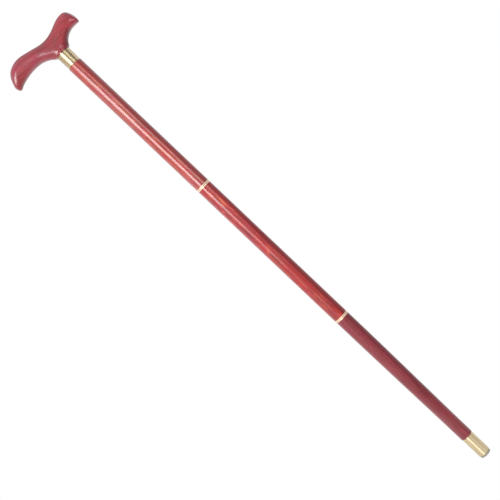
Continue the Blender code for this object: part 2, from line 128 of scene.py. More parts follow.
def softened(corners, closed=False, arc_steps=5, rest=0.12):
    """A turned outline with rounded corners.

    Each corner is (radius, height) or (radius, height, rounding). Beside each
    end of a long straight run comes one more point, so that its shading stays
    flat right up to the rounding.
    """
    count = len(corners)
    runs = []
    for i, corner in enumerate(corners):
        here = Vector(corner[:2])
        rounding = corner[2] if len(corner) > 2 else 0.0
        if rounding <= 0 or (not closed and i in (0, count - 1)):
            runs.append([here])
            continue
        back = (Vector(corners[(i - 1) % count][:2]) - here)
        ahead = (Vector(corners[(i + 1) % count][:2]) - here)
        half = back.angle(ahead) / 2
        reach = min(rounding / math.tan(half), back.length * 0.48, ahead.length * 0.48)
        start = here + back.normalized() * reach
        end = here + ahead.normalized() * reach
        radius = reach * math.tan(half)
        centre = here + (back.normalized() + ahead.normalized()).normalized() * (radius / math.sin(half))
        first = start - centre
        sweep = (end - centre).angle(first)
        turn = 1 if first.x * (end - centre).y - first.y * (end - centre).x > 0 else -1
        steps = max(2, round(arc_steps * sweep / (math.pi / 2)))
        arc = []
        for k in range(steps + 1):
            a = turn * sweep * k / steps
            arc.append(centre + Vector((first.x * math.cos(a) - first.y * math.sin(a),
                                        first.x * math.sin(a) + first.y * math.cos(a))))
        runs.append(arc)
    points = []
    for i, run in enumerate(runs):
        points.extend(run)
        if i == count - 1 and not closed:
            break
        following = runs[(i + 1) % count][0]
        along = following - run[-1]
        if along.length > 5 * rest:
            points.append(run[-1] + along.normalized() * rest)
            points.append(following - along.normalized() * rest)
    return [(max(p.x, 0.0), p.y) for p in points]


def ring_of(bm, radius, z, steps):
    if radius < 1e-6:
        return [bm.verts.new((0, 0, z * MM))]
    return [bm.verts.new((radius * MM * math.cos(2 * math.pi * k / steps),
                          radius * MM * math.sin(2 * math.pi * k / steps), z * MM))
            for k in range(steps)]


def bridge(bm, one, two):
    """Faces between two rings, either of which may be a single point."""
    steps = max(len(one), len(two))
    for k in range(steps):
        j = (k + 1) % steps
        corners = []
        for vert in (one[k % len(one)], one[j % len(one)], two[j % len(two)], two[k % len(two)]):
            if vert not in corners:
                corners.append(vert)
        bm.faces.new(corners)


def turned(bm, outline, steps=STEPS, closed=False, first=None):
    """Turns an outline round the axis, from a ring that is already there if one is given."""
    rings = [first] if first else []
    rings += [ring_of(bm, r, z, steps) for r, z in outline]
    for one, two in zip(rings, rings[1:]):
        bridge(bm, one, two)
    if closed:
        bridge(bm, rings[-1], rings[0])
    return rings


def tooth(phase):
    """Height of the thread over its root, 0 to 1, at a phase of one pitch."""
    if phase < 0.25:
        return 0.0
    if phase < 0.5625:
        return (phase - 0.25) / 0.3125
    if phase < 0.6875:
        return 1.0
    return (1.0 - phase) / 0.3125


TOOTH_ROWS = (0.0, 0.06, 0.19, 0.25, 0.29, 0.40, 0.52, 0.5625, 0.6, 0.65, 0.6875, 0.73, 0.85, 0.96)


def threaded_wall(bm, base, low, high, radius_at):
    """A helical wall between two heights. Its rows climb with the thread.

    radius_at(tooth height, z) gives the radius in millimetres. Rows that would
    pass an end are gathered on it, so each end is a plain circle. Returns the
    two circles, low and high.
    """
    rows_per_turn = len(TOOTH_ROWS)
    first_turn = math.floor((low - base) / THREAD_PITCH) - 1
    last_turn = math.ceil((high - base) / THREAD_PITCH) + 1
    columns = []
    for k in range(THREAD_STEPS):
        a = 2 * math.pi * k / THREAD_STEPS
        column = []
        for turn in range(first_turn, last_turn + 1):
            for phase in TOOTH_ROWS:
                z = base + THREAD_PITCH * (turn + phase + k / THREAD_STEPS)
                inside = min(max(z, low), high)
                r = radius_at(tooth(phase), inside)
                column.append(bm.verts.new((r * MM * math.cos(a), r * MM * math.sin(a), inside * MM)))
        columns.append(column)
    for k in range(THREAD_STEPS):
        here, there = columns[k], columns[(k + 1) % THREAD_STEPS]
        shift = rows_per_turn if k == THREAD_STEPS - 1 else 0
        for j in range(len(here) - 1):
            if j + 1 + shift < len(there):
                bm.faces.new((here[j], there[j + shift], there[j + 1 + shift], here[j + 1]))
    bmesh.ops.remove_doubles(bm, verts=[v for c in columns for v in c], dist=1e-7)
    rims = []
    for level in (low, high):
        rim = [v for v in bm.verts if v.is_boundary and abs(v.co.z - level * MM) < 1e-8]
        rim.sort(key=lambda v: math.atan2(v.co.y, v.co.x) % (2 * math.pi) if abs(v.co.y) > 1e-9 or v.co.x < 0 else 0.0)
        rims.append(rim)
    return rims


# ---------------------------------------------------------------------------
# Finishes
# ---------------------------------------------------------------------------
class Finish:
    """A short way to write a node material."""

    def __init__(self, name):
        self.material = bpy.data.materials.new(name)
        self.material.use_nodes = True
        self.tree = self.material.node_tree
        self.shader = self.tree.nodes["Principled BSDF"]

    def node(self, kind, settings=None, **inputs):
        made = self.tree.nodes.new(kind)
        for key, value in (settings or {}).items():
            setattr(made, key, value)
        for key, value in inputs.items():
            self.plug(made, key, value)
        return made

    def plug(self, node, key, value):
        socket = node.inputs[int(key[1:])] if key[0] == "i" and key[1:].isdigit() else node.inputs[key.replace("_", " ")]
        if isinstance(value, bpy.types.NodeSocket):
            self.tree.links.new(value, socket)
        else:
            socket.default_value = value

    def set(self, **inputs):
        for key, value in inputs.items():
            self.plug(self.shader, key, value)

    def math(self, operation, a, b=0.0, c=None, clamp=False):
        made = self.node("ShaderNodeMath", {"operation": operation, "use_clamp": clamp}, i0=a, i1=b)
        if c is not None:
            self.plug(made, "i2", c)
        return made.outputs[0]

    def vector(self, operation, a, b=(0.0, 0.0, 0.0)):
        made = self.node("ShaderNodeVectorMath", {"operation": operation}, i0=a, i1=b)
        return made.outputs["Value" if operation in ("LENGTH", "DOT_PRODUCT") else "Vector"]

    def split(self, vector):
        return self.node("ShaderNodeSeparateXYZ", i0=vector).outputs

    def join(self, x, y, z):
        return self.node("ShaderNodeCombineXYZ", i0=x, i1=y, i2=z).outputs[0]

    def noise(self, vector, scale, detail=3.0, roughness=0.5, distortion=0.0):
        made = self.node("ShaderNodeTexNoise", {"noise_dimensions": "3D"},
                         Vector=vector, Scale=scale, Detail=detail, Roughness=roughness, Distortion=distortion)
        return made.outputs["Fac"]

    def noise_line(self, value, scale, detail=2.0, roughness=0.5):
        made = self.node("ShaderNodeTexNoise", {"noise_dimensions": "1D"},
                         W=value, Scale=scale, Detail=detail, Roughness=roughness)
        return made.outputs["Fac"]

    def spread(self, value, low, high, to_low=0.0, to_high=1.0):
        """Maps low..high to the new range, smoothly, and holds the ends."""
        made = self.node("ShaderNodeMapRange", {"interpolation_type": "SMOOTHSTEP"},
                         Value=value, From_Min=low, From_Max=high, To_Min=to_low, To_Max=to_high)
        return made.outputs[0]

    def mix(self, share, one, two, blend="MIX"):
        made = self.node("ShaderNodeMix", {"data_type": "RGBA", "blend_type": blend})
        for index, value in ((0, share), (6, one), (7, two)):
            if isinstance(value, bpy.types.NodeSocket):
                self.tree.links.new(value, made.inputs[index])
            else:
                made.inputs[index].default_value = value if index == 0 else (*value[:3], 1.0)
        return made.outputs[2]

    def bump(self, height, distance, strength=1.0, under=None):
        made = self.node("ShaderNodeBump", Height=height, Distance=distance, Strength=strength)
        if under is not None:
            self.plug(made, "Normal", under)
        return made.outputs[0]

    def millimetres(self, offset=(0.0, 0.0, 0.0)):
        """The piece's own coordinates, in millimetres, moved by an offset."""
        place = self.node("ShaderNodeTexCoord").outputs["Object"]
        scaled = self.node("ShaderNodeVectorMath", {"operation": "SCALE"}, i0=place, Scale=1000.0).outputs[0]
        return self.vector("ADD", scaled, offset)


def lacquered_wood(name, deep, red, warm, seed, along="Z", figure=1.0, lines=1.0, drift=1.0, painted_shade_band=None,
                   patches=(), gloss=0.16, haze=0.42):
    """Stained and lacquered hardwood with its grain along one axis.

    deep, red and warm are the stain's colours in the dark grain lines, in the
    body of the wood and in its light flecks. lines is how strongly the grain
    shows as lines, and drift how far the stain wanders between crimson and tan.
    painted_shade_band gives the side (an angle round the axis, from +X) and the strength of
    a darker band painted down the side that lies in shade: painted shade. patches are places
    (x, z, slope, half length, half width, colour) where the colour is multiplied: a lighter
    streak of stain on the middle length, painted light and painted shade on the handle.
    """
    f = Finish(name)
    place = f.millimetres((seed * 37.0, seed * 61.0, seed * 173.0))
    x, y, z = f.split(place)
    if along == "X":       # grain runs along the grip, a little downhill
        run = f.math("ADD", x, f.math("MULTIPLY", z, -0.12))
        u, v = f.math("ADD", z, f.math("MULTIPLY", x, 0.12)), y
    else:
        run, u, v = z, x, y

    # The lines wander slowly, so they aren't ruled.
    slow = f.join(f.math("MULTIPLY", u, 0.35), f.math("MULTIPLY", v, 0.35), f.math("MULTIPLY", run, 0.11))
    wander = f.node("ShaderNodeTexNoise", {"noise_dimensions": "3D"},
                    Vector=slow, Scale=0.11, Detail=2.0, Roughness=0.5).outputs["Color"]
    wander = f.vector("SCALE", f.vector("SUBTRACT", wander, (0.5, 0.5, 0.5)))
    wander.node.inputs["Scale"].default_value = 9.0
    wx, wy, _ = f.split(wander)
    u, v = f.math("ADD", u, wx), f.math("ADD", v, wy)

    # Growth rings round a pith outside the piece.
    across = f.vector("LENGTH", f.join(f.math("ADD", u, 31.0), f.math("ADD", v, -17.0), 0.0))
    rings = f.noise_line(across, 0.42, 3.0, 0.6)
    rings = f.spread(rings, 0.34, 0.66)

    # Long fibres, broad streaks, light flecks, and pores as fine dark dashes.
    fibres = f.noise(f.join(u, v, f.math("MULTIPLY", run, 0.022)), 1.15, 4.0, 0.55, 0.15)
    streaks = f.noise(f.join(u, v, f.math("MULTIPLY", run, 0.055)), 0.36, 2.0, 0.45, 0.25)
    flecks = f.noise(f.join(u, v, f.math("MULTIPLY", run, 0.13)), 0.47, 2.0, 0.5, 0.3)
    clouds = f.noise(f.join(f.math("MULTIPLY", u, 0.6), f.math("MULTIPLY", v, 0.6), f.math("MULTIPLY", run, 0.25)), 0.055, 2.0, 0.5)
    pores = f.noise(f.join(u, v, f.math("MULTIPLY", run, 0.042)), 4.6, 1.0, 0.4)
    pores = f.spread(pores, 0.61, 0.70)

    dark = f.math("ADD", f.math("MULTIPLY", f.spread(streaks, 0.52, 0.28), 0.75 * figure * lines),
                  f.math("MULTIPLY", f.spread(fibres, 0.62, 0.30), 0.35 * lines), clamp=True)
    body = f.mix(dark, red, deep)
    body = f.mix(f.math("MULTIPLY", f.spread(flecks, 0.50, 0.72), 0.85 * figure * lines), body, warm)
    body = f.mix(f.math("MULTIPLY", f.math("SUBTRACT", 1.0, rings), 0.25 * figure), body, deep)
    body = f.mix(f.math("MULTIPLY", f.spread(clouds, 0.42, 0.66), 0.45 * figure), body, warm, "SOFT_LIGHT")

    # The stain's hue wanders in patches, longer than they are wide.
    tint = f.noise(f.join(u, v, f.math("MULTIPLY", run, 0.30)), 0.20, 3.0, 0.6, 0.4)
    body = f.mix(f.math("MULTIPLY", f.spread(tint, 0.49, 0.34), drift), body, (1.08, 0.62, 1.40), "MULTIPLY")
    body = f.mix(f.math("MULTIPLY", f.spread(tint, 0.51, 0.66), drift), body, (0.92, 1.36, 0.92), "MULTIPLY")
    # Painted shade: a darker band down the side that faces +X and the camera, away from the key light.
    if painted_shade_band:
        side, strength = math.radians(painted_shade_band[0]), painted_shade_band[1]
        reach = f.math("ADD", f.math("MULTIPLY", f.math("SUBTRACT", x, seed * 37.0), math.cos(side)),
                       f.math("MULTIPLY", f.math("SUBTRACT", y, seed * 61.0), math.sin(side)))
        reach = f.math("ADD", reach, f.math("MULTIPLY", wx, 0.22))
        body = f.mix(f.math("MULTIPLY", f.spread(reach, 10.6, 11.4), strength), body, deep)
    # Each patch multiplies the colour: on the middle length a lighter streak of stain, on the handle painted light and
    # painted shade.
    for at_x, at_z, slope, half_length, half_width, colour in patches:
        off_x = f.math("SUBTRACT", x, seed * 37.0 + at_x)
        off_z = f.math("SUBTRACT", z, seed * 173.0 + at_z)
        lean, tall = math.cos(math.radians(slope)), math.sin(math.radians(slope))
        lengthways = f.math("MULTIPLY_ADD", off_x, lean / half_length, f.math("MULTIPLY", off_z, tall / half_length))
        sideways = f.math("MULTIPLY_ADD", off_z, lean / half_width, f.math("MULTIPLY", off_x, -tall / half_width))
        away = f.math("ADD", f.vector("LENGTH", f.join(lengthways, sideways, 0.0)), f.math("MULTIPLY", wx, 0.03))
        body = f.mix(f.spread(away, 1.0, 0.2), body, colour, "MULTIPLY")
    body = f.mix(f.math("MULTIPLY", pores, 0.35), body, tuple(0.5 * c for c in deep))

    grain = f.math("ADD", f.math("MULTIPLY", fibres, 0.6), f.math("MULTIPLY", pores, -0.8))
    under = f.bump(grain, 0.00005, 0.35)
    level = f.noise(place, 0.16, 2.0, 0.5)
    dust = f.noise(place, 2.2, 2.0, 0.6)
    skin = f.bump(f.math("ADD", level, f.math("MULTIPLY", fibres, 0.04)), 0.00006, 0.30)
    f.set(Base_Color=body, Metallic=0.0, IOR=1.5,
          Roughness=f.math("ADD", f.spread(fibres, 0.2, 0.8, haze - 0.05, haze + 0.07), f.math("MULTIPLY", pores, 0.12)),
          Normal=under, Specular_IOR_Level=0.25, Coat_Weight=1.0, Coat_IOR=1.5,
          Coat_Roughness=gloss, Coat_Normal=skin)
    return f.material


def polished_brass(name, colour, tone, roughness=0.2, marks=1.0, spread_up=0.8, rim=None):
    """Turned and polished brass: fine lines round the axis, a soft uneven polish, faint handling marks.

    The lines spread reflections up and down the axis, by spread_up. rim is the
    colour, roughness and metallic share of a flange's rim, 11 mm and more from
    the axis, where it was buffed and lacquered together with the wood.
    """
    f = Finish(name)
    place = f.millimetres()
    x, y, z = f.split(place)
    turning = f.noise(f.join(f.math("MULTIPLY", x, 0.02), f.math("MULTIPLY", y, 0.02), z), 9.0, 3.0, 0.7)
    bands = f.noise(f.join(f.math("MULTIPLY", x, 0.015), f.math("MULTIPLY", y, 0.015), z), 0.9, 2.0, 0.5)
    polish = f.noise(place, 0.22, 3.0, 0.55)
    rub = f.noise(f.vector("MULTIPLY", place, (1.0, 1.0, 2.2)), 1.7, 4.0, 0.65)
    shade = f.mix(f.math("MULTIPLY", f.spread(polish, 0.35, 0.7), 0.5), colour, tone)
    shade = f.mix(f.math("MULTIPLY", f.spread(rub, 0.56, 0.72), 0.16 * marks), shade, tuple(0.62 * c for c in tone))
    rough = f.math("ADD", f.spread(bands, 0.3, 0.7, roughness - 0.03, roughness + 0.03),
                   f.math("MULTIPLY", f.spread(rub, 0.5, 0.75), 0.10 * marks))
    lines = f.bump(turning, 0.00002, 0.35)
    metal = 1.0
    if rim:
        buffed = f.spread(f.vector("LENGTH", f.join(x, y, 0.0)), 11.0, 11.5)
        shade = f.mix(buffed, shade, rim[0])
        rough = f.math("ADD", rough, f.math("MULTIPLY", buffed, rim[1] - roughness))
        metal = f.spread(buffed, 0.0, 1.0, 1.0, rim[2])
    f.set(Base_Color=shade, Metallic=metal, Roughness=rough, Normal=lines, IOR=1.5,
          Anisotropic=spread_up, Anisotropic_Rotation=0.25)
    return f.material


def plated_steel(name):
    f = Finish(name)
    place = f.millimetres()
    x, y, z = f.split(place)
    turning = f.noise(f.join(f.math("MULTIPLY", x, 0.03), f.math("MULTIPLY", y, 0.03), z), 6.0, 3.0, 0.6)
    cloud = f.noise(place, 0.35, 3.0, 0.5)
    f.set(Base_Color=f.mix(cloud, (0.50, 0.50, 0.51), (0.62, 0.62, 0.62)), Metallic=1.0,
          Roughness=f.spread(turning, 0.3, 0.7, 0.26, 0.38), Normal=f.bump(turning, 0.00003, 0.4))
    return f.material


def moulded_rubber(name, colour, dust_colour, dust, roughness):
    """Moulded rubber: a fine matt skin, with a little pale dust caught on it."""
    f = Finish(name)
    place = f.millimetres()
    skin = f.noise(place, 5.5, 3.0, 0.65)
    patches = f.noise(place, 0.45, 4.0, 0.6)
    shade = f.mix(f.math("MULTIPLY", f.spread(patches, 0.42, 0.75), dust), colour, dust_colour)
    shade = f.mix(f.math("MULTIPLY", f.spread(skin, 0.35, 0.65), 0.18), shade, tuple(0.7 * c for c in colour))
    f.set(Base_Color=shade, Roughness=f.spread(patches, 0.3, 0.7, roughness - 0.05, roughness + 0.1),
          Normal=f.bump(skin, 0.00008, 0.5), IOR=1.5)
    return f.material


# The handle's patches are painted light and painted shade over the wood's own figure: lighter where its lit faces and
# highlights fall (over the nose, along the long arm, a stripe right of the neck), darker where it lies in shade (the
# nose's end, a band down the right of the neck, the long arm beside the saddle, a streak at the top of the neck).
HANDLE_WOOD = lacquered_wood("handle_lacquer", (0.164, 0.016, 0.025), (0.302, 0.034, 0.046), (0.382, 0.045, 0.051),
                             seed=3, along="X", figure=0.9, lines=0.75, drift=0.7, gloss=0.14, patches=[
                                 (26.0, 897.0, 0.0, 38.0, 28.0, (1.16, 1.02, 1.00)),
                                 (48.0, 905.0, 0.0, 13.0, 8.0, (0.66, 0.80, 0.76)),
                                 (21.0, 879.0, 41.0, 21.0, 8.0, (0.62, 0.85, 0.82)),
                                 (-19.0, 898.0, -15.0, 16.0, 9.5, (0.80, 0.95, 0.95)),
                                 (-50.0, 891.0, 0.0, 30.0, 9.0, (1.10, 1.20, 1.15)),
                                 (8.0, 884.0, 20.0, 11.0, 6.0, (1.20, 1.35, 1.25)),
                                 (5.0, 889.5, 0.0, 10.0, 4.5, (0.74, 0.85, 0.80)),
                             ])
# The shafts' darker band at -43 degrees is painted shade: it darkens the side that lies away from the key light.
UPPER_WOOD = lacquered_wood("upper_lacquer", (0.240, 0.026, 0.025), (0.405, 0.065, 0.052), (0.540, 0.140, 0.086), seed=1,
                            figure=1.2, drift=0.7, painted_shade_band=(-43.0, 0.75), gloss=0.14)
MIDDLE_WOOD = lacquered_wood("middle_lacquer", (0.210, 0.015, 0.020), (0.390, 0.031, 0.030), (0.570, 0.090, 0.043), seed=7,
                             figure=1.2, drift=0.8, painted_shade_band=(-43.0, 0.75), gloss=0.14, patches=[
                                 (5.0, 543.0, 90.0, 52.0, 5.8, (1.42, 1.46, 1.12)),
                             ])
LOWER_WOOD = lacquered_wood("lower_lacquer", (0.145, 0.014, 0.024), (0.270, 0.029, 0.039), (0.335, 0.042, 0.043),
                            seed=12, figure=0.9, drift=0.6, painted_shade_band=(-43.0, 0.45))
COLLAR_BRASS = polished_brass("collar_brass", (0.64, 0.51, 0.31), (0.60, 0.46, 0.26), 0.33, marks=0.4, spread_up=0.95)
JOINT_BRASS = polished_brass("joint_brass", (0.80, 0.66, 0.38), (0.72, 0.56, 0.28), 0.30, spread_up=0.6,
                             rim=((0.98, 0.74, 0.53), 0.50, 0.65))
FERRULE_BRASS = polished_brass("ferrule_brass", (0.84, 0.69, 0.44), (0.79, 0.63, 0.37), 0.42, marks=1.4, spread_up=0.9)
STEEL = plated_steel("plated_steel")
SEAL_RUBBER = moulded_rubber("seal_rubber", (0.018, 0.018, 0.019), (0.06, 0.06, 0.058), 0.3, 0.5)
PAD_RUBBER = moulded_rubber("pad_rubber", (0.30, 0.29, 0.22), (0.42, 0.41, 0.34), 0.5, 0.62)


# ---------------------------------------------------------------------------
# Handle
# ---------------------------------------------------------------------------
# Stations of the grip from the long end to the nose: top (x, z), bottom (x, z),
# half the thickness, how far up the slice is widest, and its squareness.
GRIP = [
    ((-85.3, 890.2), (-82.9, 878.4), 7.9, 0.53, 2.02),
    ((-80.4, 901.2), (-76.2, 880.3), 11.8, 0.58, 2.07),
    ((-70.0, 910.4), (-66.5, 883.1), 13.6, 0.62, 2.14),
    ((-54.0, 913.6), (-53.0, 885.0), 14.2, 0.64, 2.23),
    ((-38.5, 910.6), (-39.5, 884.7), 14.2, 0.62, 2.34),
    ((-25.5, 906.9), (-28.5, 882.1), 14.0, 0.60, 2.40),
    ((-13.5, 903.8), (-19.6, 877.1), 14.0, 0.57, 2.45),
    ((0.0, 903.5), (0.0, 876.0), 13.8, 0.52, 2.49),
    ((13.5, 906.9), (18.6, 878.4), 13.1, 0.47, 2.52),
    ((25.0, 911.0), (28.0, 884.8), 12.2, 0.42, 2.58),
    ((36.5, 912.9), (38.5, 886.9), 11.1, 0.39, 2.64),
    ((45.6, 910.0), (47.2, 886.5), 9.3, 0.37, 2.67),
    ((50.2, 900.9), (50.5, 887.0), 6.3, 0.36, 2.69),
]
LONG_END = (-86.4, 884.3)
NOSE_END = (51.4, 893.0)
NECK_STATION = 7


def slice_points(top, bottom, half_thickness, widest, squareness):
    """Eight points round one slice: bottom, then up the +Y side, top, and down."""
    top, bottom = Vector((top[0], 0, top[1])), Vector((bottom[0], 0, bottom[1]))
    middle = bottom.lerp(top, widest)
    for k in range(8):
        a = math.radians(45 * k - 90)
        across = math.copysign(abs(math.cos(a)) ** (2 / squareness), math.cos(a))
        up = abs(math.sin(a)) ** (2 / squareness)
        if abs(math.cos(a)) < 1e-9:
            across = 0.0
        towards = (top - middle) if math.sin(a) > 0 else (bottom - middle)
        point = middle + towards * (up if abs(math.sin(a)) > 1e-9 else 0.0)
        yield Vector((point.x, half_thickness * across, point.z))


def handle_cage():
    """The all-quad cage whose smooth surface is to pass under each of its corners' first places."""
    bm = bmesh.new()

    def corner(point):
        return bm.verts.new(Vector(point) * MM)

    rings = [[corner(p) for p in slice_points(*station)] for station in GRIP]
    left, mid, right = (rings[NECK_STATION + i] for i in (-1, 0, 1))
    for ring, x, y, z in ((left, -12.5, 10.45, 877.6), (right, 11.4, 9.4, 878.0)):
        ring[1].co = Vector((x, y, z)) * MM
        ring[7].co = Vector((x, -y, z)) * MM
    mid[1].co = Vector((0, 12.7, 878.2)) * MM
    mid[7].co = Vector((0, -12.7, 878.2)) * MM
    outline = [left[0], left[1], mid[1], right[1], right[0], right[7], mid[7], left[7]]

    for a, ring in enumerate(rings[:-1]):
        for k in range(8):
            under_neck = a in (NECK_STATION - 1, NECK_STATION) and k in (0, 7)
            if not under_neck:
                bm.faces.new((ring[k], ring[(k + 1) % 8], rings[a + 1][(k + 1) % 8], rings[a + 1][k]))
    bm.verts.remove(mid[0])

    for ring, end in ((rings[0], LONG_END), (rings[-1], NOSE_END)):
        tip = corner((end[0], 0, end[1]))
        for k in (0, 2, 4, 6):
            bm.faces.new((tip, ring[k], ring[k + 1], ring[(k + 2) % 8]))

    for back, side, front, z in ((15.6, 13.2, 15.2, 873.5), (NECK_R + 0.2, NECK_R, NECK_R + 0.2, 871.9),
                                 (NECK_R - 0.7, NECK_R - 0.7, NECK_R - 0.7, NECK_Z), (8.0, 8.0, 8.0, NECK_Z)):
        ring = []
        for k in range(8):
            a = math.radians(180 - 45 * k)
            reach = front if math.cos(a) > 0 else back
            ring.append(corner((reach * math.cos(a), side * math.sin(a), z)))
        for k in range(8):
            bm.faces.new((outline[k], outline[(k + 1) % 8], ring[(k + 1) % 8], ring[k]))
        outline = ring
    hub = corner((0, 0, NECK_Z))
    for k in (0, 2, 4, 6):
        bm.faces.new((hub, outline[k], outline[k + 1], outline[(k + 2) % 8]))
    bmesh.ops.recalc_face_normals(bm, faces=bm.faces)
    return bm


def smooth_position(vert):
    """Where the subdivision surface passes under a corner of an all-quad cage."""
    n = len(vert.link_edges)
    total = vert.co * n * n
    for edge in vert.link_edges:
        total += edge.other_vert(vert).co * 4
    for loop in vert.link_loops:
        total += loop.link_loop_next.link_loop_next.vert.co
    return total / (n * (n + 5))


def fit_cage(bm, rounds=60):
    wanted = {v: v.co.copy() for v in bm.verts}
    for _ in range(rounds):
        shift = {v: wanted[v] - smooth_position(v) for v in bm.verts}
        for v, move in shift.items():
            v.co += move * 0.9


def evaluated_bmesh(obj):
    """The object's mesh with its modifiers applied, as a new bmesh. The object is removed."""
    graph = bpy.context.evaluated_depsgraph_get()
    bm = bmesh.new()
    bm.from_object(obj, graph)
    bpy.data.objects.remove(obj, do_unlink=True)
    return bm


def carved_handle():
    cage = handle_cage()
    fit_cage(cage)
    mesh = bpy.data.meshes.new("handle_form")
    cage.to_mesh(mesh)
    cage.free()
    form = bpy.data.objects.new("handle_form", mesh)
    bpy.context.scene.collection.objects.link(form)
    soften = form.modifiers.new("Round", "SUBSURF")
    soften.levels = soften.render_levels = 4
    return evaluated_bmesh(form)


handle = finished("handle_grip", carved_handle(), HANDLE_WOOD, "upper_section", "handle")

# The bore for the fixing rod, up through the neck.
cutter_bm = bmesh.new()
turned(cutter_bm, [(0, HANDLE_BORE_TOP), (STUD_BORE_R, HANDLE_BORE_TOP - 2.0), (STUD_BORE_R, NECK_Z - 3.0),
                   (0, NECK_Z - 3.0)], 48)
bmesh.ops.recalc_face_normals(cutter_bm, faces=cutter_bm.faces)
cutter_mesh = bpy.data.meshes.new("handle_bore")
cutter_bm.to_mesh(cutter_mesh)
cutter_bm.free()
cutter = bpy.data.objects.new("handle_bore", cutter_mesh)
bpy.context.scene.collection.objects.link(cutter)
bore = handle.modifiers.new("Bore", "BOOLEAN")
bore.object = cutter
bore.operation = "DIFFERENCE"
bore.solver = "EXACT"
bored = bpy.data.meshes.new_from_object(handle.evaluated_get(bpy.context.evaluated_depsgraph_get()))
handle.modifiers.clear()
handle.data = bored
bored.name = "handle_grip"
bored.set_sharp_from_angle(angle=SHARP)
bpy.data.objects.remove(cutter, do_unlink=True)

# The rod stays the frame's own piece: nothing of it shows.
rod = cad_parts["handle_stud"]
rod.data.materials.clear()
rod.data.materials.append(STEEL)


# ---------------------------------------------------------------------------
# Collar
# ---------------------------------------------------------------------------
bm = bmesh.new()
turned(bm, softened([
    (COLLAR_BORE_R, COLLAR_TOP, 0.15), (COLLAR_TOP_R, COLLAR_TOP, 0.35),
    (COLLAR_LOW_R, COLLAR_BOTTOM, 0.4), (COLLAR_BORE_R, COLLAR_BOTTOM, 0.15),
], closed=True), closed=True)
finished("collar_tube", bm, COLLAR_BRASS, "upper_section", "handle_collar")


# ---------------------------------------------------------------------------
# Wooden lengths
# ---------------------------------------------------------------------------
def socket_bore(joint_z):
    bottom = joint_z + FLANGE_GAP + FLANGE_T + GAP
    return [(SOCKET_R + 0.15, bottom, 0.2), (SOCKET_R + 0.15, bottom + SOCKET_LEN + 0.4),
            (0, bottom + SOCKET_LEN + 3.0)]


def shank_bore(joint_z):
    top = joint_z - FLANGE_GAP - FLANGE_T - GAP
    return [(0, top - SHANK_LEN - 3.0), (SHANK_R + 0.15, top - SHANK_LEN - 0.4),
            (SHANK_R + 0.15, top, 0.2)]


shoulder = COLLAR_BOTTOM - GAP
bm = bmesh.new()
turned(bm, softened([
    (0, STUD_ROD_BOTTOM - 3.0), (STUD_BORE_R, STUD_ROD_BOTTOM - 0.8),
    (STUD_BORE_R, COLLAR_TOP - 0.2), (TENON_R, COLLAR_TOP - 0.2, 0.4), (TENON_R, shoulder),
    (SHAFT_R, shoulder, 0.7), (SHAFT_R, UPPER_JOINT_Z + FLANGE_GAP + FLANGE_T + GAP, 0.12),
    *socket_bore(UPPER_JOINT_Z),
]))
finished("upper_length", bm, UPPER_WOOD, "upper_section", "upper_shaft")

bm = bmesh.new()
turned(bm, softened([
    *shank_bore(UPPER_JOINT_Z),
    (SHAFT_R, UPPER_JOINT_Z - FLANGE_GAP - FLANGE_T - GAP, 0.12),
    (SHAFT_R, LOWER_JOINT_Z + FLANGE_GAP + FLANGE_T + GAP, 0.12),
    *socket_bore(LOWER_JOINT_Z),
]))
finished("middle_length", bm, MIDDLE_WOOD, "middle_section", "middle_shaft")

foot_shoulder = FERRULE_TOP + GAP
lower_top = LOWER_JOINT_Z - FLANGE_GAP - FLANGE_T - GAP
inner_low = FERRULE_LOW_R - FERRULE_WALL - GAP
inner_top = FERRULE_TOP_R - FERRULE_WALL - GAP
tenon_end = PAD_TOP + GAP + FERRULE_FLOOR + 0.2


def taper(z):
    """Radius of the lower length: a plain cylinder at the top, then an even taper that sets in gently."""
    def drop(height):
        below = max(0.0, TAPER_TOP - height)
        return below * below / (2 * TAPER_EASE) if below < TAPER_EASE else below - TAPER_EASE / 2
    return LOWER_TOP_R - (LOWER_TOP_R - LOWER_END_R) * drop(z) / drop(foot_shoulder)


bm = bmesh.new()
turned(bm, softened([
    *shank_bore(LOWER_JOINT_Z),
    (LOWER_TOP_R, lower_top, 0.12),
    *((taper(TAPER_TOP - TAPER_EASE * i / 8), TAPER_TOP - TAPER_EASE * i / 8) for i in range(9)),
    (LOWER_END_R, foot_shoulder, 1.0), (inner_top, foot_shoulder), (inner_low, tenon_end, 0.3),
    (PLUG_R + 0.2, tenon_end), (PLUG_R + 0.2, PLUG_TOP + 0.6), (0, PLUG_TOP + 2.2),
]))
finished("lower_length", bm, LOWER_WOOD, "lower_section", "lower_shaft")


# ---------------------------------------------------------------------------
# Foot
# ---------------------------------------------------------------------------
ferrule_bottom = PAD_TOP + GAP
bm = bmesh.new()
turned(bm, softened([
    (FERRULE_TOP_R - FERRULE_WALL, FERRULE_TOP, 0.15), (FERRULE_TOP_R, FERRULE_TOP, 0.3),
    (FERRULE_LOW_R, ferrule_bottom, 1.5),
    (PLUG_R + 0.2, ferrule_bottom, 0.1), (PLUG_R + 0.2, ferrule_bottom + FERRULE_FLOOR, 0.1),
    (FERRULE_LOW_R - FERRULE_WALL, ferrule_bottom + FERRULE_FLOOR, 0.3),
], closed=True), closed=True)
finished("ferrule_cup", bm, FERRULE_BRASS, "lower_section", "ferrule")

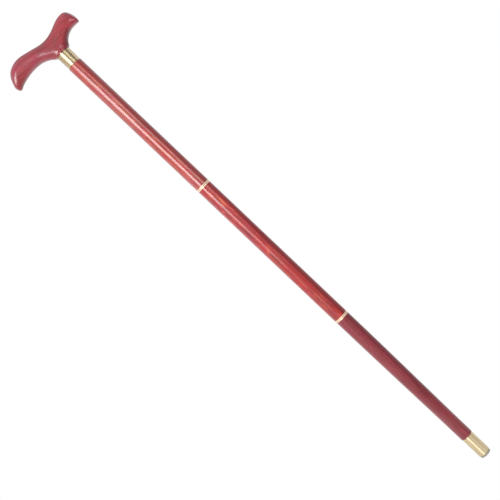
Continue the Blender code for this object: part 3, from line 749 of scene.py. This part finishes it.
bm = bmesh.new()
tread = []
for ring_r in (6.4, 4.5, 2.6):     # three shallow grooves in the sole
    tread += [(ring_r + 0.35, 0.0, 0.1), (ring_r + 0.2, 0.7, 0.1), (ring_r - 0.2, 0.7, 0.1), (ring_r - 0.35, 0.0, 0.1)]
turned(bm, softened([
    (0, PLUG_TOP), (PLUG_R, PLUG_TOP, 0.8), (PLUG_R, PAD_TOP), (PAD_R, PAD_TOP, 0.35),
    (PAD_R, 0.8, 0.8), (PAD_R - 0.7, 0.0, 0.3), *tread, (0, 0.0),
], arc_steps=6, rest=0.08))
finished("tip_cushion", bm, PAD_RUBBER, "lower_section", "tip_pad")


# ---------------------------------------------------------------------------
# Screw joints
# ---------------------------------------------------------------------------
def glue_grooves(radius, depth, top, pitch, count, width):
    out = []
    for i in range(count):
        z = top - i * pitch
        out += [(radius, z, 0.15), (radius - depth, z - width * 0.35, 0.1),
                (radius - depth, z - width * 0.65, 0.1), (radius, z - width, 0.15)]
    return out


def thread_base(joint_z):
    return joint_z + THREAD_START - 2 * THREAD_PITCH


def stud(which, joint_z, body):
    low, high = joint_z + THREAD_START, joint_z + THREAD_END
    depth = THREAD_CREST_R - THREAD_ROOT_R

    def radius_at(height, z):
        lead_in = THREAD_ROOT_R - 0.2 + (z - low) * (depth + 0.5) / 0.6
        lead_out = THREAD_ROOT_R - 0.15 + (high - z) * (depth + 0.45) / 1.2
        return min(THREAD_ROOT_R + depth * height, lead_in, lead_out)

    bm = bmesh.new()
    foot, head = threaded_wall(bm, thread_base(joint_z), low, high, radius_at)
    turned(bm, [(0, high)], THREAD_STEPS, first=head)
    seat = joint_z - FLANGE_GAP
    under = seat - FLANGE_T
    outline = softened([
        (NECK_RELIEF_R, low - 0.05, 0.02), (NECK_RELIEF_R, seat, 0.3), (FLANGE_R, seat, 0.6),
        (FLANGE_R, under, 0.5), (SHANK_R, under),
        *glue_grooves(SHANK_R, 0.5, under - 5.5, 7.0, 2, 1.8),
        (SHANK_R, under - SHANK_LEN, 0.8), (0, under - SHANK_LEN),
    ])
    turned(bm, outline, THREAD_STEPS, first=foot)
    finished(f"{which}_stud_screw", bm, JOINT_BRASS, body, f"{which}_joint_stud")


def socket(which, joint_z, body):
    low, high = joint_z + SOCKET_MOUTH_TOP, joint_z + SOCKET_THREAD_TOP
    depth = THREAD_CREST_R - THREAD_ROOT_R
    hole = THREAD_ROOT_R + THREAD_CLEARANCE - 0.1

    def radius_at(height, z):
        cut = THREAD_ROOT_R + THREAD_CLEARANCE + depth * height
        end = hole + (high - z) * (depth + 0.4) / 1.2
        mouth = THREAD_CREST_R + THREAD_CLEARANCE + 0.1 - (z - low) * 1.6
        return max(hole, min(cut, end), mouth)

    bm = bmesh.new()
    mouth, deep = threaded_wall(bm, thread_base(joint_z), low, high, radius_at)
    turned(bm, [(hole, joint_z + SOCKET_HOLE_TOP), (0, joint_z + SOCKET_HOLE_TOP + 1.6)], THREAD_STEPS, first=deep)
    face = joint_z + FLANGE_GAP
    top = face + FLANGE_T
    outline = softened([
        (SOCKET_MOUTH_R, low), (SOCKET_MOUTH_R, face, 0.15), (FLANGE_R, face, 0.6), (FLANGE_R, top, 0.5),
        (SOCKET_R, top), *reversed(glue_grooves(SOCKET_R, 0.5, top + 13.5, 6.5, 2, 1.8)),
        (SOCKET_R, top + SOCKET_LEN, 0.8), (0, top + SOCKET_LEN),
    ])
    turned(bm, outline, THREAD_STEPS, first=mouth)
    finished(f"{which}_socket_insert", bm, JOINT_BRASS, body, f"{which}_joint_socket")


def seal(which, joint_z, body):
    bm = bmesh.new()
    centre = joint_z - FLANGE_GAP + 0.12 + SEAL_WIRE_R
    wire = []
    for k in range(20):
        a = 2 * math.pi * k / 20
        wire.append((SEAL_R + SEAL_WIRE_R * math.cos(a), centre + SEAL_WIRE_R * math.sin(a)))
    turned(bm, wire, 96, closed=True)
    finished(f"{which}_seal_ring", bm, SEAL_RUBBER, body, f"{which}_joint_seal")


for which, joint_z, above, screw, below in (
    ("upper", UPPER_JOINT_Z, "upper_section", "upper_screw", "middle_section"),
    ("lower", LOWER_JOINT_Z, "middle_section", "lower_screw", "lower_section"),
):
    stud(which, joint_z, below)
    socket(which, joint_z, above)
    seal(which, joint_z, screw)


# ---------------------------------------------------------------------------
# Floor
# ---------------------------------------------------------------------------
bm = bmesh.new()
turned(bm, [(0, -0.2), (400, -0.2), (1500, -0.2), (9000, -0.2)], 96)
bmesh.ops.recalc_face_normals(bm, faces=bm.faces)
for face in bm.faces:
    if face.normal.z < 0:
        face.normal_flip()
floor_mesh = bpy.data.meshes.new("floor")
bm.to_mesh(floor_mesh)
bm.free()
floor = bpy.data.objects.new("floor", floor_mesh)
bpy.context.scene.collection.objects.link(floor)
f = Finish("pale_floor")
f.tree.nodes.remove(f.shader)


def compass(tree, x, y, levels):
    """A level for each direction from above. Angles are from the side that the camera stands on, to +X."""
    back = tree.nodes.new("ShaderNodeMath")
    back.operation = "MULTIPLY"
    back.inputs[1].default_value = -1.0
    tree.links.new(y, back.inputs[0])
    angle = tree.nodes.new("ShaderNodeMath")
    angle.operation = "ARCTAN2"
    tree.links.new(x, angle.inputs[0])
    tree.links.new(back.outputs[0], angle.inputs[1])
    share = tree.nodes.new("ShaderNodeMath")
    share.operation = "MULTIPLY_ADD"
    share.inputs[1].default_value, share.inputs[2].default_value = 0.5 / math.pi, 0.5
    tree.links.new(angle.outputs[0], share.inputs[0])
    node = tree.nodes.new("ShaderNodeValToRGB")
    tree.links.new(share.outputs[0], node.inputs[0])
    ramp = node.color_ramp
    ramp.interpolation = "LINEAR"
    ramp.elements.remove(ramp.elements[0])
    first, last = levels[0], levels[-1]
    seam = last[1] + (first[1] - last[1]) * (180 - last[0]) / (first[0] + 360 - last[0])
    stops = [(-180, seam), *levels] + ([(180, seam)] if last[0] < 180 else [])
    for k, (degrees, level) in enumerate(stops):
        stop = ramp.elements[0] if k == 0 else ramp.elements.new((degrees + 180) / 360)
        stop.position = (degrees + 180) / 360
        stop.color = (level, level, level, 1.0)
    return node.outputs[0]


# Where it isn't seen directly, the floor glows as a pale sweep with painted shade:
# # darker in front and to the right, where the cane's and the camera's shade would lie.
spot = f.node("ShaderNodeTexCoord").outputs["Object"]
spot_x, spot_y, _ = f.split(spot)
reach = f.vector("LENGTH", spot)
middle = compass(f.tree, spot_x, spot_y, [(-120, 1.27), (-60, 1.11), (0, 0.47), (60, 0.37), (120, 0.97), (180, 1.30)])
far = compass(f.tree, spot_x, spot_y, [(-120, 0.96), (-60, 0.77), (0, 0.48), (60, 0.23), (120, 0.59), (180, 1.00)])
level = f.mix(f.node("ShaderNodeMapRange", Value=reach, From_Min=0.08, From_Max=0.30).outputs[0], (0.80, 0.80, 0.80), middle)
level = f.mix(f.node("ShaderNodeMapRange", Value=reach, From_Min=0.30, From_Max=0.80).outputs[0], level, far)
painted_shade_glow = f.node("ShaderNodeEmission", Color=level, Strength=1.0)
glow = f.node("ShaderNodeEmission", Color=(1.0, 1.0, 1.0, 1.0), Strength=1.0)
clear = f.node("ShaderNodeBsdfTransparent")
seen = f.node("ShaderNodeMixShader", i0=f.node("ShaderNodeLightPath").outputs["Is Camera Ray"],
              i1=painted_shade_glow.outputs[0], i2=glow.outputs[0])
sided = f.node("ShaderNodeMixShader", i0=f.node("ShaderNodeNewGeometry").outputs["Backfacing"],
               i1=seen.outputs[0], i2=clear.outputs[0])
f.tree.links.new(sided.outputs[0], f.tree.nodes["Material Output"].inputs["Surface"])
floor_mesh.materials.append(f.material)


# ---------------------------------------------------------------------------
# Light
# ---------------------------------------------------------------------------
scene = bpy.context.scene
world = bpy.data.worlds.new("studio")
scene.world = world
world.use_nodes = True
tree = world.node_tree
tree.nodes.clear()


def world_node(kind, settings=None, **inputs):
    made = tree.nodes.new(kind)
    for key, value in (settings or {}).items():
        setattr(made, key, value)
    for key, value in inputs.items():
        slot = made.inputs[int(key[1:])] if key[0] == "i" and key[1:].isdigit() else made.inputs[key]
        if isinstance(value, bpy.types.NodeSocket):
            tree.links.new(value, slot)
        else:
            slot.default_value = value
    return made


# The room's brightness round the cane at eye level, higher up, and overhead:
# pale behind and to the left, dim in front, darkest to the right.
way = world_node("ShaderNodeTexCoord").outputs["Generated"]
sx, sy, sz = world_node("ShaderNodeSeparateXYZ", i0=way).outputs
eye_level = compass(tree, sx, sy, [(-150, 0.95), (-120, 1.15), (-90, 1.08), (-60, 0.57), (-35, 0.62), (-10, 0.62), (15, 0.48),
                                   (40, 0.50), (60, 0.24), (80, 0.08), (100, 0.32), (130, 0.80), (160, 0.75), (180, 0.78)])
raised = compass(tree, sx, sy, [(-135, 0.75), (-80, 1.08), (-30, 0.31), (20, 0.30), (70, 0.34), (115, 1.30), (150, 0.60), (180, 0.35)])
overhead = compass(tree, sx, sy, [(-150, 0.50), (-110, 1.10), (0, 1.10), (110, 1.20), (150, 0.50), (180, 0.35)])


def world_mix(low, high, one, two):
    share = world_node("ShaderNodeMapRange", i0=sz, i1=low, i2=high).outputs[0]
    made = world_node("ShaderNodeMix", {"data_type": "RGBA"})
    for index, value in ((0, share), (6, one), (7, two)):
        tree.links.new(value, made.inputs[index])
    return made.outputs[2]


room = world_mix(0.3, 0.8, world_mix(0.0, 0.3, eye_level, raised), overhead)
cool = world_node("ShaderNodeMix", {"data_type": "RGBA", "blend_type": "MULTIPLY"}, i0=1.0, i7=(0.97, 0.985, 1.05, 1.0))
tree.links.new(room, cool.inputs[6])
dim = world_node("ShaderNodeBackground", Color=cool.outputs[2], Strength=1.0)
white = world_node("ShaderNodeBackground", Color=(1.0, 1.0, 1.0, 1.0), Strength=1.0)
both = world_node("ShaderNodeMixShader", i0=world_node("ShaderNodeLightPath").outputs["Is Camera Ray"],
                  i1=dim.outputs[0], i2=white.outputs[0])
out = world_node("ShaderNodeOutputWorld")
tree.links.new(both.outputs[0], out.inputs["Surface"])


def softbox(name, azimuth, distance, low, high, width, radiance, lean=0.0):
    """A strip of light that faces the cane. Azimuth is from the camera's side, to +X, and so is the lean of its top."""
    data = bpy.data.lights.new(name, "AREA")
    data.shape = "RECTANGLE"
    data.size, data.size_y = width, high - low
    data.energy = radiance * math.pi * width * (high - low)
    obj = bpy.data.objects.new(name, data)
    a = math.radians(azimuth)
    place = Vector((distance * math.sin(a), -distance * math.cos(a), (low + high) / 2))
    out, side, rise = Vector((math.sin(a), -math.cos(a), 0)), Vector((math.cos(a), math.sin(a), 0)), Vector((0, 0, 1))
    tilt = math.radians(lean)
    top = rise * math.cos(tilt) + side * math.sin(tilt)
    obj.matrix_world = Matrix.Translation(place) @ Matrix((top.cross(out), top, out)).transposed().to_4x4()
    obj.visible_camera = False
    scene.collection.objects.link(obj)
    return obj


softbox("key", -25.0, 1.25, 0.60, 1.10, 0.53, 10.4)
softbox("key_edge_high", -41.0, 1.25, 0.85, 1.10, 0.175, 7.6)
softbox("key_edge_low", -41.0, 1.25, 0.60, 0.85, 0.175, 2.2)
softbox("key_middle", -25.0, 1.25, 0.51, 0.60, 0.53, 6.4)
softbox("key_tail", -25.0, 1.25, 0.35, 0.51, 0.53, 2.9)
softbox("key_foot", -25.0, 1.25, 0.10, 0.35, 0.175, 0.9)
softbox("side_strip", -49.0, 1.25, 0.85, 1.75, 0.175, 3.0)
softbox("fill", 31.5, 1.25, 0.60, 1.00, 0.53, 2.8)
softbox("fill_side", 45.0, 1.25, 0.50, 1.00, 0.13, 1.3)
softbox("fill_high", 26.0, 1.25, 1.00, 1.20, 0.17, 4.2)
softbox("side_high", 108.0, 1.25, 1.20, 1.90, 0.45, 2.2)
softbox("fill_front", 7.0, 1.25, 1.00, 1.50, 0.175, 1.0)
softbox("fill_low", 35.0, 1.25, 0.20, 0.60, 0.35, 0.5)


# ---------------------------------------------------------------------------
# Camera
# ---------------------------------------------------------------------------
# 1.613 m from the cane's axis and level with a point 528 mm above the foot,
# rolled so that the cane runs from upper left to lower right.
PITCH, YAW, ROLL = math.radians(2.052), math.radians(-0.765), math.radians(46.573)
camera_data = bpy.data.cameras.new("camera")
camera_data.sensor_width = 36.0
camera_data.lens = 1081.0 / 500.0 * 36.0
camera_data.clip_start = 0.05
camera_data.clip_end = 50.0
camera = bpy.data.objects.new("camera", camera_data)
scene.collection.objects.link(camera)
forward = Vector((math.sin(YAW) * math.cos(PITCH), math.cos(YAW) * math.cos(PITCH), -math.sin(PITCH)))
level = Vector((math.cos(YAW), -math.sin(YAW), 0))
rise = level.cross(forward)
right = level * math.cos(ROLL) - rise * math.sin(ROLL)
up = level * math.sin(ROLL) + rise * math.cos(ROLL)
camera.matrix_world = Matrix.Translation((0, -1.613, 0.5279)) @ Matrix((right, up, -forward)).transposed().to_4x4()
scene.camera = camera

scene.view_settings.view_transform = "Standard"
scene.view_settings.look = "None"
